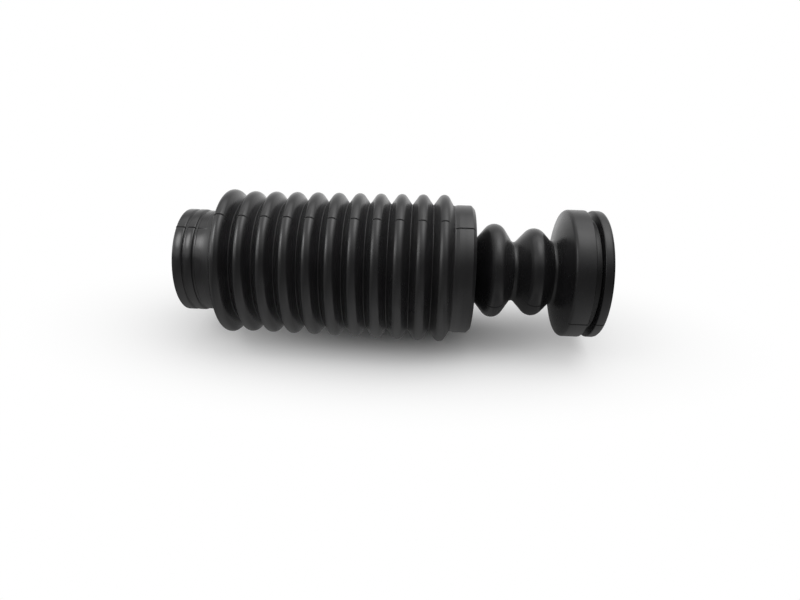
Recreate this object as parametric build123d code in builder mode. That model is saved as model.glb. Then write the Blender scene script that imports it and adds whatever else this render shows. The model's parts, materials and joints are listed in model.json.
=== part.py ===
"""Dust boot and bump stop for a car's suspension strut.

Two rubber mouldings on one axis, standing on the mounting cap:

  bump_stop  solid buffer with two lobes and a mounting cap, bored for the
             damper rod
  dust_boot  thin bellows, held by its end web in the waist of the buffer and
             slipped over the strut tube with its collar

Millimetres. +Z runs up the axis from the cap to the collar, and the origin is
the centre of the cap's flat end.

Both sections are drawn as chains of bends. A bend is the tip radius, the
height and the bend radius of one arc: a positive bend radius bulges outwards
(crest, lobe, edge), a negative one inwards (valley, waist, root). Straight
flanks join the bends as common tangents, so any one size can change and the
outline stays smooth.
"""

import os
from math import asin, atan2, cos, degrees, hypot, radians, sin

from build123d import *

os.makedirs("parts", exist_ok=True)

# ------------------------------------------------------- driving dimensions
# Mounting cap, from its flat end upwards
cap_radius = 39.3
rim_setback = 0.2
rim_height = 5.8
rim_edge_radius = 2.0
groove_depth = 6.0
groove_height = 4.6
cap_body_height = 9.8
cap_edge_radius = 2.5
cap_face_height = 8.9
cap_root_radius = 19.9
cap_root_fillet = 2.0
seat_edge_radius = 0.6

# Buffer lobes, from the cap upwards
lower_lobe_radius = 27.2
upper_lobe_radius = 29.1
lobe_tip_radius = 7.0
lower_lobe_rise = 10.8
lobe_pitch = 24.6
waist_rise = 13.3
waist_radius = 18.3
waist_fillet = 2.4

# Head of the buffer, behind the boot's web
head_radius = 23.0
head_tip_radius = 16.0
head_height = 13.0
head_edge_radius = 1.5

# Rod bore
rod_bore_radius = 10.5
rod_bore_chamfer = 1.5

# Boot, end band and web
boot_wall = 2.0
web_thickness = 3.0
web_clearance = 0.0
band_radius = 39.7
band_height = 10.6
band_chamfer = 2.0
band_edge_radius = 0.4
band_lip_radius = 0.8
band_inner_fillet = 1.5

# Boot, bellows, which narrows fold by fold from the band to the collar
neck_depth = 0.5
neck_rise = 1.4
valley_rise = 0.7
fold_depth = 5.3
fold_taper = 0.19
crest_count = 11
crest_pitch = 13.0
end_crest_rise = 0.9
crest_bend = 2.6
valley_bend = 1.2
sharpest_bend = 0.4

# Boot, collar
shoulder_height = 8.3
shoulder_fillet = 2.0
collar_height = 20.6
collar_bore_radius = 27.5
collar_bore_chamfer = 0.8
throat_fillet = 1.0
collar_wall = 3.5
collar_edge_radius = 1.0
collar_rib_count = 2
collar_rib_rise = 0.6
collar_rib_height = 6.0
collar_groove_width = 1.1
collar_groove_depth = 0.9
rib_edge_radius = 0.6
rib_foot_radius = 1.2

# -------------------------------------------------- radii that follow others
rim_radius = cap_radius - rim_setback
groove_radius = cap_radius - groove_depth
web_hole_radius = waist_radius + web_clearance
neck_radius = band_radius - neck_depth
boot_bore_radius = neck_radius - boot_wall
collar_radius = collar_bore_radius + collar_wall
collar_rib_radius = collar_radius + collar_rib_rise
collar_groove_radius = collar_radius - collar_groove_depth

# ----------------------------------------------------- heights up the axis
groove_top = rim_height + groove_height
cap_edge = groove_top + cap_body_height
cap_root = cap_edge + cap_face_height
lower_lobe = cap_root + lower_lobe_rise
upper_lobe = lower_lobe + lobe_pitch
web_bottom = upper_lobe + waist_rise
web_top = web_bottom + web_thickness
head_top = web_top + head_height
band_top = web_bottom + band_height
neck = band_top + neck_rise
first_crest = neck + crest_pitch / 2
last_crest = first_crest + (crest_count - 1) * crest_pitch
collar_foot = last_crest + shoulder_height
collar_top = collar_foot + collar_height


# ------------------------------------------------------------ profile tools
def flank_angle(upper, lower):
    """Degrees between the axis and the common tangent of two bends."""
    drop = upper[1] - lower[1]
    reach = (upper[0] - upper[2]) - (lower[0] - lower[2])
    if upper[2] < 0:
        reach = -reach
    span = hypot(drop, reach)
    return degrees(atan2(reach, drop) + asin((abs(upper[2]) + abs(lower[2])) / span))


def bend_chain(bends):
    """Draws bends from the top down, joined by tangent flanks.

    Both ends run parallel to the axis. Returns the first and last points.
    """
    angles = [0] + [flank_angle(a, b) for a, b in zip(bends, bends[1:])] + [0]
    ends = []
    for (tip, height, bend), above, below in zip(bends, angles, angles[1:]):
        centre = (tip - bend, height)
        if bend > 0:
            arc = CenterArc(centre, bend, above, -(above + below))
        else:
            arc = CenterArc(centre, -bend, 180 - above, above + below)
        if ends:
            Line(ends[-1], arc @ 0)
        ends += [arc @ 0, arc @ 1]
    return ends[0], ends[-1]


def inside_of(bends, wall):
    """The same bends on the inner face of a wall."""
    return [
        (tip - wall, height, bend - wall if bend < 0 else max(bend - wall, sharpest_bend))
        for tip, height, bend in bends
    ]


# ---------------------------------------------------------------- bump stop
buffer_bends = [
    (waist_radius, web_bottom, -waist_fillet),
    (upper_lobe_radius, upper_lobe, lobe_tip_radius),
    (waist_radius, (upper_lobe + lower_lobe) / 2, -waist_fillet),
    (lower_lobe_radius, lower_lobe, lobe_tip_radius),
    (cap_root_radius, cap_root, -cap_root_fillet),
    (cap_radius, cap_edge, cap_edge_radius),
]

with BuildPart() as bump_stop:
    with BuildSketch(Plane.XZ):
        with BuildLine():
            waist_start, cap_start = bend_chain(buffer_bends)
            head = FilletPolyline(
                waist_start,
                (waist_radius, web_top),
                (head_radius, web_top),
                (head_tip_radius, head_top),
                (rod_bore_radius + rod_bore_chamfer, head_top),
                radius=[0, head_edge_radius, head_edge_radius],
            )
            seat = FilletPolyline(
                cap_start,
                (cap_radius, groove_top),
                (groove_radius, groove_top),
                (groove_radius, rim_height),
                (rim_radius, rim_height),
                (rim_radius, 0),
                (rod_bore_radius + rod_bore_chamfer, 0),
                radius=[seat_edge_radius] * 4 + [rim_edge_radius],
            )
            Polyline(
                head @ 1,
                (rod_bore_radius, head_top - rod_bore_chamfer),
                (rod_bore_radius, rod_bore_chamfer),
                seat @ 1,
            )
        make_face()
    revolve(axis=Axis.Z)
bump_stop.part.label = "bump_stop"
export_step(bump_stop.part, "parts/bump_stop.step")

# ---------------------------------------------------------------- dust boot
# Each crest comes with the valley below it. The crest next to the collar
# stands out further than its neighbours.
bellows_bends = []
for crest in reversed(range(crest_count)):
    height = first_crest + crest * crest_pitch
    valley = band_radius + valley_rise - crest * fold_taper
    tip = valley + fold_depth + (end_crest_rise if crest == crest_count - 1 else 0)
    bellows_bends.append((tip, height, crest_bend))
    bellows_bends.append((valley, height - crest_pitch / 2, -valley_bend))

# The lowest valley is the neck, just above the band's rounded lip.
bellows_bends[-1] = (neck_radius, neck, -valley_bend)
band_lip = (band_radius, band_top - band_lip_radius, band_lip_radius)
shoulder = (collar_radius, collar_foot, -shoulder_fillet)

# The collar's bore ends on the inner face of the shoulder, which lies one wall
# inside the outer face and at the same slope.
slope = radians(flank_angle(shoulder, bellows_bends[0]))
bend_step = shoulder_fillet + boot_wall - throat_fillet
bore_step = collar_wall + shoulder_fillet - throat_fillet
throat_drop = (bend_step - bore_step * cos(slope)) / sin(slope)
throat = (collar_bore_radius, collar_foot - throat_drop, -throat_fillet)

# A narrow groove runs round the collar under each rib.
collar_corners = []
below_radius = collar_radius
for rib in reversed(range(collar_rib_count)):
    rib_foot = collar_top - (rib + 1) * collar_rib_height
    collar_corners += [
        (below_radius, rib_foot - collar_groove_width),
        (collar_groove_radius, rib_foot - collar_groove_width),
        (collar_groove_radius, rib_foot),
        (collar_rib_radius, rib_foot),
    ]
    below_radius = collar_rib_radius
collar_corner_radii = [rib_edge_radius, 0, 0, rib_foot_radius] * collar_rib_count

with BuildPart() as dust_boot:
    with BuildSketch(Plane.XZ):
        with BuildLine():
            collar_start, band_start = bend_chain([shoulder] + bellows_bends + [band_lip])
            bore_foot, wall_foot = bend_chain([throat] + inside_of(bellows_bends, boot_wall))
            FilletPolyline(
                band_start,
                (band_radius, web_bottom + band_chamfer),
                (band_radius - band_chamfer, web_bottom),
                (web_hole_radius, web_bottom),
                (web_hole_radius, web_top),
                (boot_bore_radius, web_top),
                wall_foot,
                radius=[band_edge_radius] * 4 + [band_inner_fillet],
            )
            FilletPolyline(
                collar_start,
                *collar_corners,
                (collar_rib_radius, collar_top),
                (collar_bore_radius + collar_bore_chamfer, collar_top),
                (collar_bore_radius, collar_top - collar_bore_chamfer),
                bore_foot,
                radius=collar_corner_radii + [collar_edge_radius, 0, 0],
            )
        make_face()
    revolve(axis=Axis.Z)
dust_boot.part.label = "dust_boot"
export_step(dust_boot.part, "parts/dust_boot.step")
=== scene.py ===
# %% [markdown]
# # A dust boot and its bump stop
#
# The object is two black rubber mouldings on one axis: a long bellows with a
# ribbed collar, and a solid two-lobed buffer that ends in a mounting cap. On a
# car they sit round the damper rod: the buffer takes the last of the travel, and
# the bellows keeps dirt off the rod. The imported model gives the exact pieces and
# their frame: metres, +Z up the axis, origin at the centre of the cap's flat end.
# This lesson dresses that frame. It shows how to turn a section into a body with
# Geometry Nodes, how to repeat one fold to make a bellows, and how to finish
# black rubber so that its shape reads.

import json
from math import acos, asin, atan2, cos, degrees, hypot, pi, radians, sin, tan

import bmesh
import bpy
from mathutils import Matrix, Vector


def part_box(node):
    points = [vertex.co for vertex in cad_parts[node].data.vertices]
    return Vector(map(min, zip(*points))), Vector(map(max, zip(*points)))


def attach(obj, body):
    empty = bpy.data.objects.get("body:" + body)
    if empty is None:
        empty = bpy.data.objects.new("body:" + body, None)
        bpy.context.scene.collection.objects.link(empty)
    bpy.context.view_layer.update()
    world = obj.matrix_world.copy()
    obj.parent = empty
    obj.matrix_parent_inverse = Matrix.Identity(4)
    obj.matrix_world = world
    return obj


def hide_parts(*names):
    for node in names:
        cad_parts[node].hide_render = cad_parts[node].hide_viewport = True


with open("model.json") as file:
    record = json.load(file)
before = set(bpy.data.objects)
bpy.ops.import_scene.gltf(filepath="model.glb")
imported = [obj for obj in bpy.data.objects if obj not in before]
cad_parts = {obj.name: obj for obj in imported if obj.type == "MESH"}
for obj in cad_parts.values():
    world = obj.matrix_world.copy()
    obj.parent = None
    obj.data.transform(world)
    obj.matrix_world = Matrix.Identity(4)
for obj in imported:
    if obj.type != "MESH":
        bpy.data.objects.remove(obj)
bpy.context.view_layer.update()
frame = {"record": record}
MM = 0.001

# %% [markdown]
# ## Sizes
#
# Rubber mouldings are drawn by radius and height, as a toolmaker cuts them. What
# the frame can say is read from it, so the dressed pieces can't drift from the
# solids: the boxes of the two nodes give the outer radii and the ends, and the
# record's mounts give the two bores. The rest are the moulding's own sizes, in
# millimetres, each written once.

# %% Read the ends and the bores from the frame
boot_low, boot_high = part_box("dust_boot")
_, stop_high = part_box("bump_stop")
mounts = {mount["name"]: mount for mount in frame["record"]["mounts"]}

web_bottom = boot_low.z / MM
collar_top = boot_high.z / MM
first_crest_radius = boot_high.x / MM
cap_radius = stop_high.x / MM
head_top = stop_high.z / MM
collar_bore_radius = mounts["strut_tube_bore"]["dims"]["r_mm"]
rod_bore_radius = mounts["rod_bore"]["dims"]["r_mm"]
print(f"boot from z = {web_bottom:.1f} to {collar_top:.1f}, crests of {first_crest_radius:.1f}")
print(f"buffer up to z = {head_top:.1f}, cap radius {cap_radius:.1f}")

# %% Sizes of the band at the boot's lower end
boot_wall = 2.0
web_thickness = 3.0
web_fillet = 1.5
waist_radius = 18.3
band_setback = 6.0
band_height = 10.6
band_chamfer = 2.0
band_edge = 0.4
band_lip = 0.8
neck_depth = 0.5
neck_rise = 1.4
neck_bend = 1.2

band_radius = first_crest_radius - band_setback
neck_radius = band_radius - neck_depth
web_top = web_bottom + web_thickness
band_top = web_bottom + band_height
neck_height = band_top + neck_rise
print(f"band of radius {band_radius:.1f}, up to z = {band_top:.1f}")

# %% Sizes of the bellows
crest_count = 11
crest_pitch = 13.0
crest_bend = 3.6
end_crest_rise = 0.9
fold_depth = 6.2
fold_taper = 0.19
valley_bend = 0.4
sharpest_bend = 0.4

first_crest = neck_height + crest_pitch / 2
last_crest = first_crest + (crest_count - 1) * crest_pitch
print(f"{crest_count} crests, from z = {first_crest:.1f} to {last_crest:.1f}")

# %% Sizes of the collar
shoulder_rise = 8.3
shoulder_fillet = 1.2
throat_fillet = 1.0
collar_wall = 3.5
collar_edge = 1.0
collar_chamfer = 0.8
rib_count = 2
rib_rise = 0.6
rib_height = 6.0
rib_edge = 0.6
rib_foot_round = 1.2
groove_width = 1.1
groove_depth = 0.7
fine_round = 0.2

collar_foot = last_crest + shoulder_rise
collar_radius = collar_bore_radius + collar_wall
rib_radius = collar_radius + rib_rise
print(f"collar of radius {collar_radius:.1f}, {rib_count} ribs of {rib_radius:.1f}")

# %% Sizes of the mounting cap
rim_height = 5.8
rim_edge = 2.0
rim_setback = 0.2
seat_depth = 6.0
seat_height = 4.6
seat_edge = 0.6
cap_body_height = 9.8
cap_edge_bend = 2.5
cap_face_height = 8.9
cap_root_radius = 19.9
cap_root_bend = 2.0

rim_radius = cap_radius - rim_setback
seat_radius = cap_radius - seat_depth
seat_top = rim_height + seat_height
cap_edge_height = seat_top + cap_body_height
cap_root_height = cap_edge_height + cap_face_height
print(f"cap: rim {rim_height}, groove {seat_height}, body {cap_body_height} mm high")

# %% Sizes of the buffer's lobes and head
lower_lobe_radius = 27.2
lower_lobe_rise = 10.8
upper_lobe_radius = 29.1
lobe_pitch = 24.6
lobe_bend = 7.0
waist_bend = 2.4
head_radius = 23.0
head_tip_radius = 16.0
head_edge = 1.5
rod_chamfer = 1.5
inner_round = 0.3

lower_lobe = (lower_lobe_radius, cap_root_height + lower_lobe_rise)
upper_lobe = (upper_lobe_radius, lower_lobe[1] + lobe_pitch)
print(f"lobes at z = {lower_lobe[1]:.1f} and {upper_lobe[1]:.1f}")

# %% [markdown]
# ## Drawing a section
#
# Both pieces are bodies of revolution, so each needs only half a section: a
# closed line of radius and height. It could be drawn by hand as a Bezier curve,
# but then every change of a size would move many handles. Rubber sections are
# chains of bends joined by straight flanks, so they are written that way here: a
# bend is its tip radius, its height and its bend radius, positive where it
# bulges outwards. The flank between two bends is their common tangent, so the
# line is smooth whatever the sizes are.

# %% Bends joined by tangent flanks
turn_per_step = radians(12)
fewest_steps = 3


def flank_angle(upper, lower):
    """Radians between the axis and the common tangent of two bends."""
    drop = upper[1] - lower[1]
    reach = (upper[0] - upper[2]) - (lower[0] - lower[2])
    if upper[2] < 0:
        reach = -reach
    return atan2(reach, drop) + asin((abs(upper[2]) + abs(lower[2])) / hypot(drop, reach))


def bend_chain(bends):
    """Points along a chain of bends, from the top down, upright at both ends."""
    angles = [0.0] + [flank_angle(a, b) for a, b in zip(bends, bends[1:])] + [0.0]
    points = []
    for (tip, height, bend), above, below in zip(bends, angles, angles[1:]):
        steps = max(fewest_steps, round((above + below) / turn_per_step))
        for step in range(steps + 1):
            turn = above - (above + below) * step / steps
            points.append((tip - bend + bend * cos(turn), height + abs(bend) * sin(turn)))
    return points


sample_bends = [(10.0, 6.0, 2.0), (6.0, 0.0, -1.0)]
print(f"a sample flank leans {degrees(flank_angle(*sample_bends)):.0f} degrees off the axis")
print(f"a sample crest and valley take {len(bend_chain(sample_bends))} points")

# %% Corners with a small round
round_steps = 3


def rounded(corners):
    """Points along a polyline. Each corner is radius, height and round."""
    points = []
    for place, (r, z, round_radius) in enumerate(corners):
        if round_radius == 0 or place in (0, len(corners) - 1):
            points.append((r, z))
            continue
        here = Vector((r, z))
        before = (Vector(corners[place - 1][:2]) - here).normalized()
        after = (Vector(corners[place + 1][:2]) - here).normalized()
        opening = acos(max(-1.0, min(1.0, before.dot(after))))
        centre = here + (before + after).normalized() * round_radius / sin(opening / 2)
        start = here + before * round_radius / tan(opening / 2) - centre
        sweep = (pi - opening) * (1 if before.cross(after) < 0 else -1)
        for step in range(round_steps + 1):
            turned = Matrix.Rotation(sweep * step / round_steps, 2) @ start
            points.append(tuple(centre + turned))
    return points


sample_corner = rounded([(0, 0, 0), (5, 0, 1), (5, 5, 0)])
print(f"a sample corner takes {len(sample_corner) - 2} points")

# %% [markdown]
# A section becomes a mesh of edges and no faces: a wire. Two marks ride on it as
# point attributes. One says where the mould leaves its parting ridge, and one
# says where a valley has its bottom. They stay on the body when the wire is
# turned, so the shape and the material can both read them. Painting them on the
# finished body would also work, but then each change of a size would undo it.


# %% A section as a wire in the XZ plane
def share_within(value):
    """The value, kept between 0 and 1."""
    return max(0.0, min(1.0, value))


def wire(name, lines, closed, marks):
    """Edges through lines of points, which are radius and height in millimetres.

    The marks are attributes: each name comes with a function of radius and height.
    """
    mesh = bpy.data.meshes.new(name)
    edges = []
    points = []
    for line in lines:
        start = len(points)
        points += line
        edges += [(i, i + 1) for i in range(start, len(points) - 1)]
    if closed:
        edges.append((len(points) - 1, 0))
    mesh.from_pydata([(r * MM, 0.0, z * MM) for r, z in points], edges, [])
    for label, share_at in marks.items():
        shares = mesh.attributes.new(label, "FLOAT", "POINT")
        for item, (r, z) in zip(shares.data, points):
            item.value = share_at(r, z)
    print(f"wire {name}: {len(points)} points, {len(edges)} edges")
    return mesh


# %% [markdown]
# ## One fold, and the two ends
#
# The bellows repeats one fold, a little smaller each time, from the band to the
# collar. A fold runs from the middle of one valley to the middle of the next,
# outside and inside, one wall apart. It could be drawn eleven times, but it is
# drawn once, because a bellows is one fold repeated, and Geometry Nodes repeat
# it. The ends are drawn separately: above the last fold come the end crest, the
# shoulder and the collar, and below the first come the first crest, the neck,
# the band and the web. All of them start and stop in the middle of a valley, so
# they weld.


# %% The bends of the bellows
def valley_radius(fold):
    """Radius of the valley below a crest, counted from the band."""
    return first_crest_radius - fold_depth - fold * fold_taper


def crest_height(fold):
    return first_crest + fold * crest_pitch


def valley(fold):
    return (valley_radius(fold), crest_height(fold) - crest_pitch / 2, -valley_bend)


def crest(fold, rise=0.0):
    return (valley_radius(fold) + fold_depth + rise, crest_height(fold), crest_bend)


def inside(bends):
    """The bends of the inner face, one wall in."""
    inner = []
    for tip, height, bend in bends:
        inner_bend = bend - boot_wall if bend < 0 else max(bend - boot_wall, sharpest_bend)
        inner.append((tip - boot_wall, height, inner_bend))
    return inner


lean = degrees(flank_angle(crest(1), valley(1)))
print(f"the flank below a crest leans {lean:.0f} degrees off the axis")

# %% Cut a line in the middle of a valley, and draw the fold
touch = 1e-6


def above_valley(bend, points):
    """The part of a line above the middle of a valley."""
    return [p for p in points if p[1] > bend[1] + touch] + [bend[:2]]


def below_valley(bend, points):
    """The part of a line below the middle of a valley."""
    return [bend[:2]] + [p for p in points if p[1] < bend[1] - touch]


fold_bends = [valley(2), crest(1), valley(1)]
fold_lines = []
for bends in (fold_bends, inside(fold_bends)):
    points = below_valley(bends[0], above_valley(bends[2], bend_chain(bends)))
    fold_lines.append(points)
print(f"one fold: {len(fold_lines[0])} points outside, {len(fold_lines[1])} inside")

# %% Draw the end crest and the shoulder, outside and inside
last = crest_count - 1
end_bends = [crest(last, end_crest_rise), valley(last)]
shoulder = (collar_radius, collar_foot, -shoulder_fillet)
slope = flank_angle(shoulder, end_bends[0])
bend_step = shoulder_fillet + boot_wall - throat_fillet
bore_step = collar_radius + shoulder_fillet - collar_bore_radius - throat_fillet
throat_height = collar_foot - (bend_step - bore_step * cos(slope)) / sin(slope)
throat = (collar_bore_radius, throat_height, -throat_fillet)

end_outside = above_valley(end_bends[1], bend_chain([shoulder] + end_bends))
end_inside_bends = inside(end_bends)
end_inside = above_valley(end_inside_bends[1], bend_chain([throat] + end_inside_bends))
print(f"the shoulder leans {degrees(slope):.0f} degrees off the axis")

# %% Draw the collar, with a groove under each rib
collar_corners = [(collar_radius, collar_foot, 0)]
ledge_radius = collar_radius
for rib in reversed(range(rib_count)):
    rib_foot = collar_top - (rib + 1) * rib_height
    collar_corners += [
        (ledge_radius, rib_foot - groove_width, rib_edge),
        (collar_radius - groove_depth, rib_foot - groove_width, fine_round),
        (collar_radius - groove_depth, rib_foot, fine_round),
        (rib_radius, rib_foot, rib_foot_round),
    ]
    ledge_radius = rib_radius
collar_corners += [
    (rib_radius, collar_top, collar_edge),
    (collar_bore_radius + collar_chamfer, collar_top, fine_round),
    (collar_bore_radius, collar_top - collar_chamfer, fine_round),
    (collar_bore_radius, throat_height, 0),
]
top_line = list(reversed(end_outside)) + rounded(collar_corners)[1:-1] + end_inside
print(f"upper end: {len(top_line)} points")

# %% Draw the first crest, the neck, the band and the web
lip = (band_radius, band_top - band_lip, band_lip)
neck = (neck_radius, neck_height, -neck_bend)
start_bends = [valley(1), crest(0), neck]
start_outside = below_valley(start_bends[0], bend_chain(start_bends + [lip]))
start_inside_bends = inside(start_bends)
start_inside = below_valley(start_inside_bends[0], bend_chain(start_inside_bends))

band_bore_radius = neck_radius - boot_wall
band_corners = [
    (band_radius, band_top - band_lip, 0),
    (band_radius, web_bottom + band_chamfer, band_edge),
    (band_radius - band_chamfer, web_bottom, band_edge),
    (waist_radius, web_bottom, band_edge),
    (waist_radius, web_top, band_edge),
    (band_bore_radius, web_top, web_fillet),
    (band_bore_radius, neck_height, 0),
]
bottom_line = start_outside + rounded(band_corners)[1:-1] + list(reversed(start_inside))
print(f"lower end: {len(bottom_line)} points")

# %% [markdown]
# ## Trees and their helpers
#
# A node tree is a recipe: Geometry Nodes make shapes with it, and materials make
# colour and sheen. Trees can be wired by hand in the editor, but a script can be
# read from top to bottom and run again. A few helpers keep it short: one adds a
# node, one fills a socket with a link or a value, and the rest stand for the
# nodes that come up most.


# %% Add nodes and fill their sockets
def plug(tree, socket, value):
    """Links a socket, or sets its own value."""
    if isinstance(value, bpy.types.NodeSocket):
        tree.links.new(value, socket)
    else:
        socket.default_value = value


def add(tree, kind, settings=(), **inputs):
    """A node of that kind. An underscore in an input's name stands for a space."""
    node = tree.nodes.new(kind)
    for key, value in dict(settings).items():
        setattr(node, key, value)
    for key, value in inputs.items():
        plug(tree, node.inputs[key.replace("_", " ")], value)
    return node


def fill(tree, node, values):
    """Fills a node's first sockets in order."""
    for socket, value in zip(node.inputs, values):
        plug(tree, socket, value)
    return node


# %% Sums, lengths and smooth steps
def maths(tree, operation, *values):
    """One Math node, as an output socket."""
    return fill(tree, add(tree, "ShaderNodeMath", {"operation": operation}), values).outputs[0]


def vector_maths(tree, operation, *values):
    """One Vector Math node, as its useful output socket."""
    node = fill(tree, add(tree, "ShaderNodeVectorMath", {"operation": operation}), values)
    return node.outputs["Value" if operation in ("DOT_PRODUCT", "LENGTH") else "Vector"]


def ramp(tree, value, low, high, from_value=0.0, to_value=1.0):
    """A smooth step from one value to another."""
    node = add(tree, "ShaderNodeMapRange", {"interpolation_type": "SMOOTHSTEP"}, Value=value)
    for key, number in (
        ("From Min", low),
        ("From Max", high),
        ("To Min", from_value),
        ("To Max", to_value),
    ):
        plug(tree, node.inputs[key], number)
    return node.outputs["Result"]


def joined_xyz(tree, **parts):
    return add(tree, "ShaderNodeCombineXYZ", **parts).outputs[0]


# %% [markdown]
# ## Turning a section into a body
#
# Spin or the Screw modifier could turn the wire, with even steps all the way
# round. Here Curve to Mesh carries it round a circle instead, because a circle's
# points can be moved. They crowd together at the parting plane: the two halves of
# a mould leave a fine ridge where they meet, and the ridge needs points to stand
# on. The wire's own mark says where it stands, on crests and lands and not in
# valleys.

# %% Start the turning group, an empty tree with named inputs
TURNING_INPUTS = [
    ("Segments", "Int", 180),
    ("Parting Angle", "Float", 0.0),
    ("Ridge Width", "Float", 1.0 * MM),
    ("Ridge Height", "Float", 0.5 * MM),
    ("Unevenness", "Float", 0.05 * MM),
    ("Seed", "Float", 1.0),
]


def tree_with(name, sockets):
    """A Geometry Nodes tree, its inputs and its geometry output."""
    tree = bpy.data.node_groups.new(name, "GeometryNodeTree")
    tree.interface.new_socket("Geometry", in_out="OUTPUT", socket_type="NodeSocketGeometry")
    for label, kind, default in sockets:
        kind = "NodeSocket" + kind
        socket = tree.interface.new_socket(label, in_out="INPUT", socket_type=kind)
        if default is not None:
            socket.default_value = default
    given = tree.nodes.new("NodeGroupInput").outputs
    return tree, given, tree.nodes.new("NodeGroupOutput").inputs[0]


turning, given, turned_result = tree_with(
    "turn a section", [("Wire", "Geometry", None)] + TURNING_INPUTS
)
print(f"{turning.name}: {len(given) - 1} inputs")

# %% The path: a circle whose points crowd towards the parting plane
path_radius = 10 * MM
crowding = 0.46

circle = add(
    turning,
    "GeometryNodeCurvePrimitiveCircle",
    Resolution=given["Segments"],
    Radius=path_radius,
)
index = turning.nodes.new("GeometryNodeInputIndex").outputs[0]
share_round = maths(turning, "DIVIDE", index, given["Segments"])
even_turn = maths(turning, "MULTIPLY", share_round, 2 * pi)
pull = maths(turning, "SINE", maths(turning, "MULTIPLY", even_turn, 2.0))
crowded_turn = maths(turning, "SUBTRACT", even_turn, maths(turning, "MULTIPLY", pull, crowding))
turn = maths(turning, "ADD", crowded_turn, given["Parting Angle"])
place = joined_xyz(
    turning,
    X=maths(turning, "MULTIPLY", maths(turning, "COSINE", turn), path_radius),
    Y=maths(turning, "MULTIPLY", maths(turning, "SINE", turn), path_radius),
)
path = add(
    turning, "GeometryNodeSetPosition", Geometry=circle.outputs["Curve"], Position=place
)
print(f"path of radius {path_radius / MM:.0f} mm, crowding {crowding}")

# %% The body: the wire, laid in the path's cross-section and carried round
laid = add(
    turning,
    "GeometryNodeTransform",
    Geometry=given["Wire"],
    Translation=(-path_radius, 0.0, 0.0),
    Rotation=(pi / 2, 0.0, 0.0),
)
profile = add(turning, "GeometryNodeMeshToCurve", Mesh=laid.outputs[0])
body = add(
    turning,
    "GeometryNodeCurveToMesh",
    Curve=path.outputs[0],
    Profile_Curve=profile.outputs[0],
)
print(f"{turning.name}: {len(turning.nodes)} nodes carry the wire round")

# %% The ridge: a smooth bump on the outside, within half its width of the plane
position = turning.nodes.new("GeometryNodeInputPosition").outputs[0]
normal = turning.nodes.new("GeometryNodeInputNormal").outputs["Normal"]
across_plane = joined_xyz(
    turning,
    X=maths(turning, "MULTIPLY", maths(turning, "SINE", given["Parting Angle"]), -1.0),
    Y=maths(turning, "COSINE", given["Parting Angle"]),
)
off_plane = vector_maths(turning, "DOT_PRODUCT", position, across_plane)
half_width = maths(turning, "MULTIPLY", given["Ridge Width"], 0.5)
near_plane = ramp(turning, maths(turning, "ABSOLUTE", off_plane), 0.0, half_width, 1.0, 0.0)

flat = vector_maths(turning, "MULTIPLY", position, (1.0, 1.0, 0.0))
radial = vector_maths(turning, "NORMALIZE", flat)
outward = ramp(turning, vector_maths(turning, "DOT_PRODUCT", normal, radial), 0.0, 0.5)
mark = add(turning, "GeometryNodeInputNamedAttribute", {"data_type": "FLOAT"}, Name="ridge")
ridge = maths(turning, "MULTIPLY", near_plane, outward)
ridge = maths(turning, "MULTIPLY", ridge, given["Ridge Height"])
ridge = maths(turning, "MULTIPLY", ridge, mark.outputs[0])
print(f"{turning.name}: {len(turning.nodes)} nodes with the ridge")

# %% The unevenness: rubber is never quite round, so a slow noise draws it in
wander_scale = 45.0

slow_noise = add(
    turning,
    "ShaderNodeTexNoise",
    {"noise_dimensions": "4D"},
    Vector=position,
    W=given["Seed"],
    Scale=wander_scale,
    Detail=1.0,
)
inward = maths(turning, "MULTIPLY", outward, -1.0)
wander = maths(turning, "MULTIPLY", slow_noise.outputs[0], inward)
wander = maths(turning, "MULTIPLY", wander, given["Unevenness"])
move = add(turning, "ShaderNodeVectorMath", {"operation": "SCALE"}, Vector=radial)
plug(turning, move.inputs["Scale"], maths(turning, "ADD", ridge, wander))
raised = add(
    turning, "GeometryNodeSetPosition", Geometry=body.outputs[0], Offset=move.outputs[0]
)
plug(turning, turned_result, raised.outputs[0])
print(f"{turning.name}: {len(turning.nodes)} nodes in all")

# %% [markdown]
# ## The bellows tree and the buffer tree
#
# An Array modifier could repeat the fold too. A tree keeps count, pitch and taper
# beside its other inputs, and the ends, the weld and the turning follow in one
# recipe. The fold is instanced along a line that leans in by the taper, realised,
# joined to the ends and welded by distance into one closed wire. Then the turning
# group carries it round. The buffer's tree only turns its wire. Both end in
# Realize Instances and Set Material, so a plain mesh comes out.


# %% How both trees end
def turn_and_finish(tree, given, wire_socket, result):
    """Turns the wire and gives the body its smooth shading and its material."""
    turned = add(tree, "GeometryNodeGroup", {"node_tree": turning}, Wire=wire_socket)
    for label, _, _ in TURNING_INPUTS:
        plug(tree, turned.inputs[label], given[label])
    smooth = add(tree, "GeometryNodeSetShadeSmooth", Geometry=turned.outputs[0])
    solid = add(tree, "GeometryNodeRealizeInstances", Geometry=smooth.outputs[0])
    dressed = add(
        tree, "GeometryNodeSetMaterial", Geometry=solid.outputs[0], Material=given["Material"]
    )
    plug(tree, result, dressed.outputs[0])
    print(f"{tree.name}: {len(tree.nodes)} nodes")


# %% The bellows tree: repeat the fold, weld it to the ends, then turn it
weld_distance = 0.02 * MM

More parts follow.
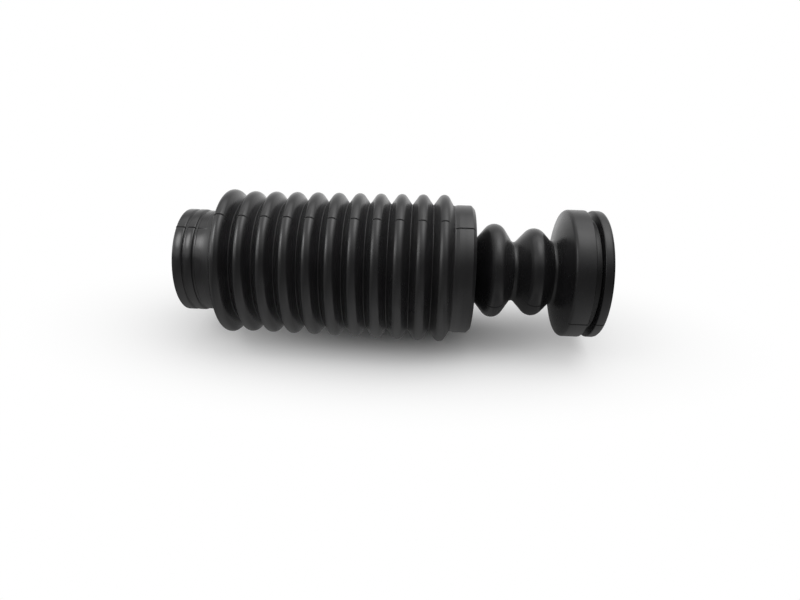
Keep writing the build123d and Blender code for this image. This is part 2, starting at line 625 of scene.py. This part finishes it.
bellows_tree, given, result = tree_with(
    "bellows boot",
    [
        ("Ends", "Geometry", None),
        ("Fold", "Object", None),
        ("Fold Count", "Int", 9),
        ("Fold Pitch", "Float", 13 * MM),
        ("Fold Taper", "Float", 0.2 * MM),
        ("Material", "Material", None),
    ]
    + TURNING_INPUTS,
)
inward_step = maths(bellows_tree, "MULTIPLY", given["Fold Taper"], -1.0)
step = joined_xyz(bellows_tree, X=inward_step, Z=given["Fold Pitch"])
line = add(bellows_tree, "GeometryNodeMeshLine", Count=given["Fold Count"], Offset=step)
fold = add(bellows_tree, "GeometryNodeObjectInfo", Object=given["Fold"])
copies = add(
    bellows_tree,
    "GeometryNodeInstanceOnPoints",
    Points=line.outputs[0],
    Instance=fold.outputs["Geometry"],
)
folds = add(bellows_tree, "GeometryNodeRealizeInstances", Geometry=copies.outputs[0])
joined = bellows_tree.nodes.new("GeometryNodeJoinGeometry")
bellows_tree.links.new(given["Ends"], joined.inputs[0])
bellows_tree.links.new(folds.outputs[0], joined.inputs[0])
welded = add(
    bellows_tree,
    "GeometryNodeMergeByDistance",
    Geometry=joined.outputs[0],
    Distance=weld_distance,
)
turn_and_finish(bellows_tree, given, welded.outputs[0], result)

# %% The buffer tree: turn its one wire
buffer_tree, given, result = tree_with(
    "turned buffer",
    [("Wire", "Geometry", None), ("Material", "Material", None)] + TURNING_INPUTS,
)
turn_and_finish(buffer_tree, given, given["Wire"], result)

# %% Run a tree on a wire and keep a plain mesh
double_distance = 0.002 * MM


def plain_mesh(mesh, tree, values):
    """The mesh that the tree makes. Inputs go by their sockets' identifiers."""
    helper = bpy.data.objects.new("helper", mesh)
    bpy.context.scene.collection.objects.link(helper)
    modifier = helper.modifiers.new("nodes", "NODES")
    modifier.node_group = tree
    for item in tree.interface.items_tree:
        if item.in_out == "INPUT" and item.name in values:
            modifier[item.identifier] = values[item.name]
    evaluated = helper.evaluated_get(bpy.context.evaluated_depsgraph_get())
    result = bpy.data.meshes.new_from_object(evaluated)
    helper.modifiers.remove(modifier)
    bpy.data.objects.remove(helper)
    return result


def grow(name, mesh, tree, values):
    """A piece at the origin, closed and with its faces outwards."""
    result = plain_mesh(mesh, tree, values)
    shape = bmesh.new()
    shape.from_mesh(result)
    bmesh.ops.remove_doubles(shape, verts=shape.verts, dist=double_distance)
    bmesh.ops.recalc_face_normals(shape, faces=shape.faces)
    volume = shape.calc_volume(signed=True)
    open_edges = sum(1 for edge in shape.edges if not edge.is_manifold)
    shape.to_mesh(result)
    shape.free()
    result.name = name
    piece = bpy.data.objects.new(name, result)
    bpy.context.scene.collection.objects.link(piece)
    triangles = sum(len(p.vertices) - 2 for p in result.polygons)
    print(f"{name}: {triangles} triangles, {volume * 1e6:.1f} cm3, {open_edges} open edges")
    return piece


# %% [markdown]
# ## Black rubber
#
# Moulded rubber is almost black, so its colour shows little and its sheen shows
# everything. A plain dark gloss would look like paint. Here the sheen varies
# softly from place to place, fine rings follow the turned mould, a fine grain
# breaks the edges of the reflections, and the trimmed parting line and the
# bottoms of the valleys are matt. An image texture would need a map laid round
# the body. Noise on the Object coordinates needs none and has no seam.


# %% Nodes that the materials share
def new_material(name):
    """A material with an empty tree: the material, the tree and its surface."""
    material = bpy.data.materials.new(name)
    material.use_nodes = True
    tree = material.node_tree
    tree.nodes.clear()
    return material, tree, tree.nodes.new("ShaderNodeOutputMaterial").inputs["Surface"]


def object_place(tree):
    """Object coordinates, whole and in parts."""
    place = tree.nodes.new("ShaderNodeTexCoord").outputs["Object"]
    return place, add(tree, "ShaderNodeSeparateXYZ", Vector=place).outputs


def noise(tree, place, scale, detail, roughness=0.5):
    return add(
        tree,
        "ShaderNodeTexNoise",
        Vector=place,
        Scale=scale,
        Detail=detail,
        Roughness=roughness,
    ).outputs[0]


def mark_of(tree, name):
    """A point attribute, as the wire left it on the body."""
    return add(tree, "ShaderNodeAttribute", {"attribute_name": name}).outputs["Fac"]


# %% Tone: almost black, a little paler in slow clouds where the bloom sits
CLOUD_SCALE = 60.0
CLOUD_SPAN = (0.35, 0.75)
BLOOM = 1.6


def rubber_tone(tree, place, colour):
    clouds = noise(tree, place, CLOUD_SCALE, 5.0, 0.6)
    tone = add(tree, "ShaderNodeMix", {"data_type": "RGBA"})
    plug(tree, tone.inputs["Factor"], ramp(tree, clouds, *CLOUD_SPAN))
    plug(tree, tone.inputs["A"], (*colour, 1.0))
    plug(tree, tone.inputs["B"], (*[part * BLOOM for part in colour], 1.0))
    return tone.outputs["Result"]


print(f"clouds about {1 / CLOUD_SCALE / MM:.0f} mm across")


# %% Relief: rings that depend on radius and height alone, and a fine grain
RING_SCALE = 900.0
GRAIN_SCALE = 3200.0


def tooling_rings(tree, place, height):
    flat = vector_maths(tree, "MULTIPLY", place, (1.0, 1.0, 0.0))
    radius = vector_maths(tree, "LENGTH", flat)
    return noise(tree, joined_xyz(tree, X=radius, Y=height), RING_SCALE, 3.0, 0.55)


def relief(tree, place, rings, ring_depth, grain_depth):
    """The normal of the surface, with rings and grain."""
    ring_bump = add(tree, "ShaderNodeBump", Strength=1.0, Distance=ring_depth, Height=rings)
    grain = noise(tree, place, GRAIN_SCALE, 2.0)
    grain_bump = add(tree, "ShaderNodeBump", Strength=1.0, Distance=grain_depth, Height=grain)
    plug(tree, grain_bump.inputs["Normal"], ring_bump.outputs[0])
    return grain_bump.outputs[0]


print(f"rings {1 / RING_SCALE / MM:.1f} mm and grain {1 / GRAIN_SCALE / MM:.1f} mm across")


# %% Sheen: roughness in slow patches, and matt where the mould was trimmed
PATCH_SCALE = 35.0
PATCH_SPAN = (0.3, 0.7)
SHEEN_SPREAD = (-0.04, 0.05)
RING_SHARE = 0.05
DULL_HEIGHTS = (90 * MM, 190 * MM)
SEAM_HALF_WIDTHS = (0.4 * MM, 0.7 * MM)
SEAM_ROUGHNESS = 0.85
HOLLOW_ROUGHNESS = 0.5


def rubber_sheen(tree, place, height, rings, roughness, dulling):
    """Roughness of the open surface. The dulling fades out up the axis."""
    smooth, rough = (roughness + change for change in SHEEN_SPREAD)
    sheen = ramp(tree, noise(tree, place, PATCH_SCALE, 3.0), *PATCH_SPAN, smooth, rough)
    sheen = maths(tree, "ADD", sheen, maths(tree, "MULTIPLY", rings, RING_SHARE))
    return maths(tree, "ADD", sheen, ramp(tree, height, *DULL_HEIGHTS, dulling, 0.0))


def matt_places(tree, place, parting):
    """Roughness of the parting line and of the valleys, and 0 elsewhere."""
    across = vector_maths(tree, "DOT_PRODUCT", place, (-sin(parting), cos(parting), 0.0))
    seam = ramp(tree, maths(tree, "ABSOLUTE", across), *SEAM_HALF_WIDTHS, 1.0, 0.0)
    seam = maths(tree, "MULTIPLY", seam, mark_of(tree, "ridge"))
    seam = maths(tree, "MULTIPLY", seam, SEAM_ROUGHNESS)
    hollow = maths(tree, "MULTIPLY", mark_of(tree, "hollow"), HOLLOW_ROUGHNESS)
    return maths(tree, "MAXIMUM", seam, hollow)


print(f"sheen patches about {1 / PATCH_SCALE / MM:.0f} mm across")


# %% The rubber material
def rubber(name, colour, roughness, dulling, index, ring_depth, grain_depth, parting):
    """Black moulded rubber."""
    material, tree, surface = new_material(name)
    place, parts = object_place(tree)
    rings = tooling_rings(tree, place, parts["Z"])
    sheen = rubber_sheen(tree, place, parts["Z"], rings, roughness, dulling)
    shader = add(
        tree,
        "ShaderNodeBsdfPrincipled",
        Base_Color=rubber_tone(tree, place, colour),
        Roughness=maths(tree, "MAXIMUM", sheen, matt_places(tree, place, parting)),
        Normal=relief(tree, place, rings, ring_depth, grain_depth),
    )
    shader.inputs["IOR"].default_value = index
    plug(tree, surface, shader.outputs["BSDF"])
    print(f"{name}: {len(tree.nodes)} nodes, roughness about {roughness}")
    return material


# %% Two rubbers: a glossy one for the boot and a softer one for the buffer
boot_parting = radians(-56.8)
boot_rubber = rubber(
    "boot_rubber",
    colour=(0.0090, 0.0088, 0.0093),
    roughness=0.15,
    dulling=0.14,
    index=1.5,
    ring_depth=0.010 * MM,
    grain_depth=0.004 * MM,
    parting=boot_parting,
)
buffer_parting = radians(37.5)
buffer_rubber = rubber(
    "buffer_rubber",
    colour=(0.0075, 0.0073, 0.0078),
    roughness=0.24,
    dulling=0.0,
    index=1.45,
    ring_depth=0.006 * MM,
    grain_depth=0.006 * MM,
    parting=buffer_parting,
)

# %% [markdown]
# ## The boot
#
# On the car, the collar grips the strut's tube, the folds take up the travel, and
# the web sits in the buffer's waist. The ends are one mesh with two open wires,
# and the fold is a helper object that the tree copies, because a tree can copy an
# object as often as it likes. The mould parts along a plane through the axis, so
# the ridge runs up one line and stands on the band, the crests and the lands.


# %% Where the boot's parting ridge stands, and where its valleys have their bottom
collar_land_reach = 0.5
band_land_reach = 1.0
crest_land_reach = 1.3
land_fade = 0.6
hollow_reach = 1.2
hollow_fade = 0.6


def land(radius, tip, reach):
    """1 at a land's tip radius, falling to 0 at its reach below it."""
    return share_within((radius - (tip - reach)) / (land_fade * reach))


def crest_radius_at(height):
    """Radius of the crests at a height, along their taper."""
    return crest((height - first_crest) / crest_pitch)[0]


def boot_ridge(radius, height):
    if height > collar_foot:
        return land(radius, collar_radius, collar_land_reach)
    if height < neck_height:
        return land(radius, band_radius, band_land_reach)
    return land(radius, crest_radius_at(height), crest_land_reach)


def boot_hollow(radius, height):
    if height > collar_foot or height < neck_height:
        return 0.0
    depth = crest_radius_at(height) - radius
    return share_within((depth - fold_depth + hollow_reach) / hollow_fade)


boot_marks = {"ridge": boot_ridge, "hollow": boot_hollow}
print(f"ridge on a crest's tip: {boot_ridge(first_crest_radius, first_crest):.0f}")
print(f"ridge in a valley: {boot_ridge(*valley(1)[:2]):.0f}")

# %% Make the boot
fold_object = bpy.data.objects.new("fold", wire("fold", fold_lines, False, boot_marks))
bpy.context.scene.collection.objects.link(fold_object)
boot = grow(
    "dust_boot_skin",
    wire("ends", [top_line, bottom_line], False, boot_marks),
    bellows_tree,
    {
        "Fold": fold_object,
        "Fold Count": crest_count - 2,
        "Fold Pitch": crest_pitch * MM,
        "Fold Taper": fold_taper * MM,
        "Segments": 180,
        "Parting Angle": boot_parting,
        "Ridge Width": 1.0 * MM,
        "Ridge Height": 0.5 * MM,
        "Unevenness": 0.06 * MM,
        "Seed": 1.0,
        "Material": boot_rubber,
    },
)
bpy.data.objects.remove(fold_object)
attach(boot, "root")
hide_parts("dust_boot")

# %% [markdown]
# ## The buffer
#
# The buffer is one solid moulding: the head behind the web, two lobes that squash
# when the strut bottoms out, and the cap, whose groove snaps into the strut's
# mount. Its section is one closed line with the rod bore inside, so nothing needs
# to be cut out afterwards. Its mould parts along another plane than the boot's,
# because the two were moulded apart and snapped together.

# %% Draw the buffer's section
buffer_bends = [
    (waist_radius, web_bottom, -waist_bend),
    (*upper_lobe, lobe_bend),
    (waist_radius, (upper_lobe[1] + lower_lobe[1]) / 2, -waist_bend),
    (*lower_lobe, lobe_bend),
    (cap_root_radius, cap_root_height, -cap_root_bend),
    (cap_radius, cap_edge_height, cap_edge_bend),
]
head_corners = [
    (rod_bore_radius, head_top - rod_chamfer, 0),
    (rod_bore_radius + rod_chamfer, head_top, inner_round),
    (head_tip_radius, head_top, head_edge),
    (head_radius, web_top, head_edge),
    (waist_radius, web_top, inner_round),
    (waist_radius, web_bottom, 0),
]
seat_corners = [
    (cap_radius, cap_edge_height, 0),
    (cap_radius, seat_top, seat_edge),
    (seat_radius, seat_top, seat_edge),
    (seat_radius, rim_height, seat_edge),
    (rim_radius, rim_height, seat_edge),
    (rim_radius, 0.0, rim_edge),
    (rod_bore_radius + rod_chamfer, 0.0, inner_round),
    (rod_bore_radius, rod_chamfer, 0),
]
buffer_line = rounded(head_corners)[:-1] + bend_chain(buffer_bends) + rounded(seat_corners)[1:]
print(f"buffer: {len(buffer_line)} points round the section")

# %% Where the buffer's parting ridge stands
lobe_land_reach = 3.0
rim_land_reach = 0.5


def buffer_ridge(radius, height):
    if height > cap_root_height:
        lobe = min((upper_lobe, lower_lobe), key=lambda tip: abs(tip[1] - height))
        return land(radius, lobe[0], lobe_land_reach)
    return land(radius, rim_radius, rim_land_reach)


buffer_marks = {"ridge": buffer_ridge, "hollow": lambda radius, height: 0.0}
print(f"ridge on the upper lobe's tip: {buffer_ridge(*upper_lobe):.0f}")

# %% Make the buffer
buffer = grow(
    "bump_stop_skin",
    wire("buffer", [buffer_line], True, buffer_marks),
    buffer_tree,
    {
        "Segments": 180,
        "Parting Angle": buffer_parting,
        "Ridge Width": 0.8 * MM,
        "Ridge Height": 0.3 * MM,
        "Unevenness": 0.05 * MM,
        "Seed": 5.0,
        "Material": buffer_rubber,
    },
)
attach(buffer, "root")
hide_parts("bump_stop")

# %% [markdown]
# ## The floor
#
# The frame stands the part on its cap, but it is looked at lying on its side. A
# finished piece is never turned, so the floor is turned instead: it touches the
# crests along one side and catches their soft shadow. The floor is a card that is
# seen from its front only, so the part can be looked at from behind as well. It
# is matt near the object and turns to plain white away from it. The white is only
# for the rays that look for a background, so no more light falls on the rubber.

# %% Directions of the set
centre = Vector((0.0, 0.0, collar_top * MM / 2))
floor_gap = 0.4 * MM


def towards(around, along):
    """A direction: degrees round the axis from -Y, and degrees up the axis."""
    turn, rise = radians(around), radians(along)
    return Vector((sin(turn) * cos(rise), -cos(turn) * cos(rise), sin(rise)))


def facing(direction):
    """A rotation whose local Z points along a direction."""
    return Vector(direction).to_track_quat("Z", "Y").to_matrix().to_4x4()


def place_at(spot, direction):
    return Matrix.Translation(spot) @ facing(direction)


floor_normal = towards(58, 0)
floor_distance = first_crest_radius * MM + floor_gap
print("floor faces", [round(x, 3) for x in floor_normal])


# %% Nodes that the cards share
def background_ray(tree):
    """1 for the rays that should meet a white background."""
    path = tree.nodes.new("ShaderNodeLightPath").outputs
    seen = maths(tree, "MAXIMUM", path["Is Camera Ray"], path["Is Glossy Ray"])
    return maths(tree, "MAXIMUM", seen, path["Is Transmission Ray"])


def backfacing(tree):
    return tree.nodes.new("ShaderNodeNewGeometry").outputs["Backfacing"]


def see_through(tree):
    return tree.nodes.new("ShaderNodeBsdfTransparent").outputs[0]


def white_glow(tree, strength):
    node = add(tree, "ShaderNodeEmission", Color=(1.0, 1.0, 1.0, 1.0), Strength=strength)
    return node.outputs[0]


def mixed(tree, share, first, second):
    """The first shader where the share is 0, and the second where it is 1."""
    return fill(tree, tree.nodes.new("ShaderNodeMixShader"), (share, first, second)).outputs[0]


# %% Pale cloth
PALE = (0.9, 0.9, 0.9, 1.0)


def pale(name, clear_from, clear_to, squeeze):
    """A matt surface that clears to white away from the object."""
    material, tree, surface = new_material(name)
    matt = add(tree, "ShaderNodeBsdfDiffuse", Color=PALE).outputs[0]
    place, _ = object_place(tree)
    place = vector_maths(tree, "MULTIPLY", place, (1.0, squeeze, 1.0))
    far = ramp(tree, vector_maths(tree, "LENGTH", place), clear_from, clear_to)
    share = maths(tree, "MULTIPLY", far, background_ray(tree))
    front = mixed(tree, share, matt, white_glow(tree, 1.0))
    plug(tree, surface, mixed(tree, backfacing(tree), front, see_through(tree)))
    print(f"{name}: {len(tree.nodes)} nodes, white from {clear_to / MM:.0f} mm out")
    return material


# %% A card, and the floor
def card(name, size, matrix, material):
    """A flat square facing its own +Z. The camera sees it, and it lights nothing."""
    half = size / 2
    mesh = bpy.data.meshes.new(name)
    corners = [(-half, -half, 0), (half, -half, 0), (half, half, 0), (-half, half, 0)]
    mesh.from_pydata(corners, [], [(0, 1, 2, 3)])
    mesh.materials.append(material)
    thing = bpy.data.objects.new(name, mesh)
    thing.matrix_world = matrix
    thing.visible_diffuse = False
    thing.visible_glossy = False
    thing.visible_shadow = False
    bpy.context.scene.collection.objects.link(thing)
    print(f"{name}: {size} m square")
    return thing


floor_cloth = pale("pale_floor", clear_from=8 * MM, clear_to=100 * MM, squeeze=0.38)
floor_place = place_at(centre - floor_normal * floor_distance, floor_normal)
card("floor", 6.0, floor_place, floor_cloth)

# %% [markdown]
# ## The tent
#
# Black rubber shows little but reflections, so what it reflects is designed. In a
# studio that is a tent of cloth with lamps behind it. Here it is a large ball
# that only reflections see, so it can be shaped freely without changing the light
# on anything matt. Its brightness is a smooth function of the direction: a room
# that changes round the axis and darkens towards the cap's end, a wide softbox
# over the object, and a few round patches for the lamps behind the cloth.

# %% Brightness of the room and of the lamps
TENT_RADIUS = 2.5
TENT_ROUND = [
    # direction round the axis and the room's brightness there
    (-180, 0.13), (-155, 0.18), (-125, 0.42), (-100, 0.60), (-78, 0.64), (-50, 0.42),
    (-30, 0.25), (-10, 0.18), (5, 0.20), (30, 0.35), (60, 0.50), (110, 0.70),
    (150, 0.95), (166, 0.95), (180, 0.13),
]
TENT_LAMPS = [
    # direction round and along the axis, inner and outer edge in degrees, strength
    (62, -16, 5, 24, 1.7),
    (86, -22, 8, 30, 0.5),
    (39, 53, 4, 22, 2.3),
    (8, 50, 8, 42, 0.22),
    (60, 60, 10, 40, 0.3),
]
print(f"tent: {len(TENT_ROUND)} tones round the axis, {len(TENT_LAMPS)} lamps")


# %% Edges of the softbox and of the room, in degrees round or up the axis
CAP_END = (-78, -48)
CAP_END_TONE = 0.08
COLLAR_END = (10, 48)
COLLAR_END_TONE = 0.6
SOFTBOX_LEVEL = 0.9
SOFTBOX_NEAR_EDGE = (5, 45)
SOFTBOX_FAR_EDGE = (88, 112)
SOFTBOX_LOW_EDGE = (-62, -33)
print(f"softbox from {SOFTBOX_NEAR_EDGE[0]} to {SOFTBOX_FAR_EDGE[1]} degrees round the axis")


# %% The room's tone, the softbox and the lamps, as nodes
def between(tree, along, low, high, from_value=0.0, to_value=1.0):
    """A smooth step between two angles up the axis, given in degrees."""
    return ramp(tree, along, sin(radians(low)), sin(radians(high)), from_value, to_value)


def room_tone(tree, around):
    """The room's brightness, read from the list of tones."""
    tones = tree.nodes.new("ShaderNodeValToRGB")
    points = tones.color_ramp.elements
    while len(points) < len(TENT_ROUND):
        points.new(0.5)
    for point, (angle, level) in zip(points, TENT_ROUND):
        point.position = angle / 360 + 0.5
        point.color = (level, level, level, 1.0)
    plug(tree, tones.inputs[0], maths(tree, "MULTIPLY_ADD", around, 0.5 / pi, 0.5))
    return add(tree, "ShaderNodeRGBToBW", Color=tones.outputs[0]).outputs[0]


def softbox(tree, around):
    """A wide softbox over the object, with soft edges."""
    near = ramp(tree, around, *map(radians, SOFTBOX_NEAR_EDGE), 0.0, SOFTBOX_LEVEL)
    far = ramp(tree, around, *map(radians, SOFTBOX_FAR_EDGE), 1.0, 0.0)
    return maths(tree, "MULTIPLY", near, far)


def lamp_patch(tree, look, turn, rise, inner, outer, level):
    """A round patch of light, full within its inner edge."""
    near = vector_maths(tree, "DOT_PRODUCT", look, towards(turn, rise))
    return ramp(tree, near, cos(radians(outer)), cos(radians(inner)), 0.0, level)


# %% The tent's cloth
def tent_cloth():
    """Emission that depends on the direction from the middle of the object."""
    material, tree, surface = new_material("tent_cloth")
    place, _ = object_place(tree)
    look = vector_maths(tree, "NORMALIZE", place)
    parts = add(tree, "ShaderNodeSeparateXYZ", Vector=look).outputs
    along = parts["Z"]
    front = maths(tree, "MULTIPLY", parts["Y"], -1.0)
    around = maths(tree, "ARCTAN2", parts["X"], front)

    cap_end = between(tree, along, *CAP_END, CAP_END_TONE)
    room = maths(tree, "MULTIPLY", room_tone(tree, around), cap_end)
    low_edge = between(tree, along, *SOFTBOX_LOW_EDGE)
    strength = maths(tree, "MULTIPLY_ADD", softbox(tree, around), low_edge, room)
    collar_end = between(tree, along, *COLLAR_END, 1.0, COLLAR_END_TONE)
    strength = maths(tree, "MULTIPLY", strength, collar_end)
    for lamp in TENT_LAMPS:
        strength = maths(tree, "ADD", strength, lamp_patch(tree, look, *lamp))
    plug(tree, surface, white_glow(tree, strength))
    material.cycles.emission_sampling = "NONE"
    print(f"tent cloth: {len(tree.nodes)} nodes")
    return material


# %% Make the tent
def make_tent(radius):
    """A ball round the object, seen by glossy rays alone."""
    shape = bmesh.new()
    bmesh.ops.create_icosphere(shape, subdivisions=5, radius=radius)
    mesh = bpy.data.meshes.new("tent")
    shape.to_mesh(mesh)
    shape.free()
    mesh.materials.append(tent_cloth())
    thing = bpy.data.objects.new("tent", mesh)
    thing.location = centre
    for kind in ("camera", "diffuse", "shadow", "transmission", "volume_scatter"):
        setattr(thing, "visible_" + kind, False)
    bpy.context.scene.collection.objects.link(thing)
    print(f"tent of radius {radius} m")


make_tent(TENT_RADIUS)

# %% [markdown]
# ## Cards close to the object
#
# The tent is far away, so it gives every crest the same reflection. What lies
# close gives each one its own: the dark stripe of the object's shadow on the
# floor, the shade beside the band, and a small lamp at the collar. Three cards
# that only reflections see stand for them. Real things could do the same, but
# they would also show and throw shadows.


# %% A card that only reflections see
def mirrored(name, size, matrix, level, edge):
    """Glows at a level, cut out by an edge, both functions of the card's own place."""
    material, tree, surface = new_material(name + "_cloth")
    place, parts = object_place(tree)
    glow = white_glow(tree, level(tree, place, parts))
    plug(tree, surface, mixed(tree, edge(tree, place, parts), see_through(tree), glow))
    material.cycles.emission_sampling = "NONE"
    thing = card(name, size, matrix, material)
    thing.visible_camera = False
    thing.visible_glossy = True
    thing.visible_transmission = False
    thing.visible_volume_scatter = False


# %% The shadow's dark stripe on the floor
# Painted reflection of the shadow: a dim card that only reflections see stands for the shadowed
# floor.
flag_lift = 0.3 * MM
flag_fade = (-60 * MM, 10 * MM)
flag_tones = (0.34, 0.09)
flag_sides = (100 * MM, 160 * MM)
flag_lower_end = (-125 * MM, -100 * MM)
flag_upper_end = (-70 * MM, -40 * MM)


def flag_level(tree, place, parts):
    return ramp(tree, parts["X"], *flag_fade, *flag_tones)


def flag_edge(tree, place, parts):
    side = ramp(tree, maths(tree, "ABSOLUTE", parts["X"]), *flag_sides, 1.0, 0.0)
    lower = ramp(tree, parts["Y"], *flag_lower_end)
    upper = ramp(tree, parts["Y"], *flag_upper_end, 1.0, 0.0)
    return maths(tree, "MULTIPLY", side, maths(tree, "MULTIPLY", lower, upper))


flag_place = place_at(centre - floor_normal * (floor_distance - flag_lift), floor_normal)
mirrored("flag", 0.4, flag_place, flag_level, flag_edge)

# %% A ring past the end of the band, for the lobes and the cap to reflect
# Painted shade in reflection: a dim glowing ring, seen by reflections alone, stands for the
# shade beside the band.
ring_height = 85 * MM
ring_hole = 41.2 * MM
ring_rim = (70 * MM, 85 * MM)
ring_fade = (-10 * MM, 50 * MM)
ring_tones = (0.12, 0.6)


def ring_level(tree, place, parts):
    return ramp(tree, parts["X"], *ring_fade, *ring_tones)


def ring_edge(tree, place, parts):
    away = vector_maths(tree, "LENGTH", place)
    outside = maths(tree, "GREATER_THAN", away, ring_hole)
    ring = maths(tree, "MULTIPLY", outside, ramp(tree, away, *ring_rim, 1.0, 0.0))
    return maths(tree, "MULTIPLY", ring, maths(tree, "SUBTRACT", 1.0, backfacing(tree)))


ring_place = Matrix.Translation((0.0, 0.0, ring_height)) @ Matrix.Rotation(pi, 4, "X")
mirrored("ring_flag", 0.18, ring_place, ring_level, ring_edge)

# %% The small lamp at the collar
# Painted highlight: the card glows for reflections alone and lights nothing.
lamp_spot = Vector((62, -97, 281)) * MM
lamp_target = Vector((10, -30, 245)) * MM
lamp_shape = (0.5, 0.8, 1.0)
lamp_core = (5 * MM, 22 * MM)
lamp_rim = (22 * MM, 50 * MM)
lamp_tones = (6.0, 1.4)


def lamp_away(tree, place):
    """Distance from the lamp's middle, for a lamp longer than it is wide."""
    return vector_maths(tree, "LENGTH", vector_maths(tree, "MULTIPLY", place, lamp_shape))


def lamp_level(tree, place, parts):
    return ramp(tree, lamp_away(tree, place), *lamp_core, *lamp_tones)


def lamp_edge(tree, place, parts):
    return ramp(tree, lamp_away(tree, place), *lamp_rim, 1.0, 0.0)


lamp_place = place_at(lamp_spot, lamp_target - lamp_spot)
mirrored("collar_lamp", 0.2, lamp_place, lamp_level, lamp_edge)

# %% [markdown]
# ## The world and the lamps
#
# The world is white to the camera and to reflections, and a plain level to matt
# surfaces. It could light the scene alone, but then the shadow would have no
# direction. Two soft panels add the rest of the plain level and cast the shadow
# on the floor. The tent already shows what they look like in a reflection, so the
# panels light the matt surfaces alone.

# %% The world
WORLD_LEVEL = 0.5

world = bpy.data.worlds.new("studio")
bpy.context.scene.world = world
world.use_nodes = True
world.cycles.sampling_method = "NONE"
tree = world.node_tree
tree.nodes.clear()
strength = maths(tree, "MULTIPLY_ADD", background_ray(tree), 1.0 - WORLD_LEVEL, WORLD_LEVEL)
background = add(tree, "ShaderNodeBackground", Color=(1.0, 1.0, 1.0, 1.0), Strength=strength)
output = tree.nodes.new("ShaderNodeOutputWorld")
plug(tree, output.inputs["Surface"], background.outputs[0])
print(f"world: level {WORLD_LEVEL} on matt surfaces")

# %% The panels
PANEL_DISTANCE = 1.2


def panel(name, direction, width, length, watts):
    """A soft rectangular light that faces the object."""
    light = bpy.data.lights.new(name, "AREA")
    light.shape = "RECTANGLE"
    light.size = width
    light.size_y = length
    light.energy = watts
    thing = bpy.data.objects.new(name, light)
    thing.matrix_world = place_at(centre + direction * PANEL_DISTANCE, direction)
    thing.visible_glossy = False
    bpy.context.scene.collection.objects.link(thing)
    radiance = watts / (pi * width * length)
    print(f"{name}: {watts} W over {width * length:.2f} m2, radiance {radiance:.2f}")


panel("top_panel", towards(68, -20), width=0.95, length=1.3, watts=7.0)
panel("side_panel", towards(38, 35), width=0.5, length=0.5, watts=2.0)

# %% [markdown]
# ## Camera
#
# The camera looks square at the axis and is rolled, so that the axis lies across
# the picture with the collar at the left. A Track To constraint could aim it, but
# three directions written out say exactly how it stands: forward, across the
# picture and up it.

# %% Place the camera
picture_width = 800
focal_pixels = 600.1
sensor_width = 36.0
camera_place = Vector((-20.84, -377.9, 110.475)) * MM
camera_turn = radians(1.663)
camera_roll = radians(2.29)

forward = Vector((0.0, cos(camera_turn), sin(camera_turn)))
across = Matrix.Rotation(-camera_roll, 3, forward) @ forward.cross(Vector((1.0, 0.0, 0.0)))
upward = across.cross(forward)
camera_axes = Matrix((across, upward, -forward)).transposed().to_4x4()

camera_data = bpy.data.cameras.new("camera")
camera_data.sensor_width = sensor_width
camera_data.lens = focal_pixels / picture_width * sensor_width
camera_data.clip_start = 0.01
camera = bpy.data.objects.new("camera", camera_data)
camera.matrix_world = Matrix.Translation(camera_place) @ camera_axes
bpy.context.scene.collection.objects.link(camera)
bpy.context.scene.camera = camera
bpy.context.scene.view_settings.view_transform = "Standard"
print(f"lens {camera_data.lens:.1f} mm, right of picture {[round(x, 3) for x in across]}")
